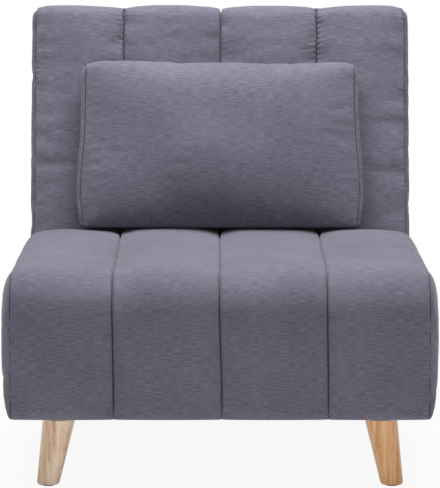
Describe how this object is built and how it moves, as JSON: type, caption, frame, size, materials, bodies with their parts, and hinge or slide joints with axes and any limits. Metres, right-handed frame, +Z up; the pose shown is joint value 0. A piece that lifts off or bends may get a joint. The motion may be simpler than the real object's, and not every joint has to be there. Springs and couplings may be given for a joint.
{
  "type": "convertible chair bed",
  "caption": "Armless upholstered chair with a channelled seat block and back, a lumbar pillow and splayed wooden legs; the back reclines and a head section unfolds to make a single bed.",
  "frame": {"origin": "on the floor, under the middle of the chair's outline seen from above", "axes": "+Z up; +Y from the front of the seat towards the back; +X to the right seen from the front"},
  "size_m": [0.796, 0.9049, 0.8294],
  "materials": {
    "upholstery_fabric": "woven, matte",
    "foam": "cut foam",
    "webbing": "woven elastic",
    "dust_cloth": "felted",
    "pine": "planed, unfinished",
    "plywood": "sanded",
    "leg_wood": "satin lacquer",
    "painted_steel": "satin powder coat",
    "zinc_steel": "zinc plated",
    "rubber": "matte",
    "plastic": "fine grain"
  },
  "bodies": {
    "base": {"seat_cover": "upholstery_fabric", "seat_foam": "foam", "webbing_straps": "webbing", "dust_cloth": "dust_cloth", "timber_rail_left": "pine", "timber_rail_right": "pine", "timber_rail_front": "pine", "timber_rail_rear": "pine", "front_leg_left": "leg_wood", "front_leg_right": "leg_wood", "rear_leg_left": "leg_wood", "rear_leg_right": "leg_wood", "base_rail_left": "painted_steel", "base_rail_right": "painted_steel", "cross_tubes": "painted_steel", "hinge_bracket_left": "painted_steel", "hinge_bracket_right": "painted_steel", "leg_plates": "zinc_steel", "leg_bolts": "zinc_steel", "hinge_pins": "zinc_steel", "hinge_washers": "zinc_steel", "rail_bolts": "zinc_steel", "rail_end_caps": "plastic", "foot_glides": "plastic"},
    "back": {"back_cover": "upholstery_fabric", "back_foam": "foam", "back_board": "plywood", "hinge_arm_left": "painted_steel", "hinge_arm_right": "painted_steel", "arm_bolts": "zinc_steel", "flip_hinge_back_leaves": "zinc_steel", "flip_hinge_pins": "zinc_steel"},
    "head": {"head_cover": "upholstery_fabric", "head_foam": "foam", "head_board": "plywood", "flip_hinge_head_leaves": "zinc_steel", "leg_brackets": "painted_steel", "leg_pins": "zinc_steel"},
    "folding_leg": {"head_leg": "painted_steel", "leg_sleeves": "rubber"},
    "pillow": {"pillow_cover": "upholstery_fabric", "pillow_filling": "foam"}
  },
  "joints": [
    {"name": "back_recline", "type": "hinge", "parent": "base", "child": "back", "pos_m": [0, 0.22041, 0.28632], "axis": [-1, 0, 0], "range_deg": [0, 75]},
    {"name": "head_flip", "type": "hinge", "parent": "back", "child": "head", "pos_m": [0, 0.35275, 0.8099], "axis": [1, 0, 0], "range_deg": [0, 180]},
    {"name": "folding_leg_swing", "type": "hinge", "parent": "head", "child": "folding_leg", "pos_m": [0, 0.2337, 0.36558], "axis": [1, 0, 0], "range_deg": [0, 90]},
    {"name": "pillow_lift", "type": "slide", "parent": "base", "child": "pillow", "axis": [0, 0.2588, 0.9659], "range_m": [0, 0.25]}
  ],
  "couplings": [
    {"joint": "folding_leg_swing", "follows": "head_flip", "ratio": 0.5}
  ]
}
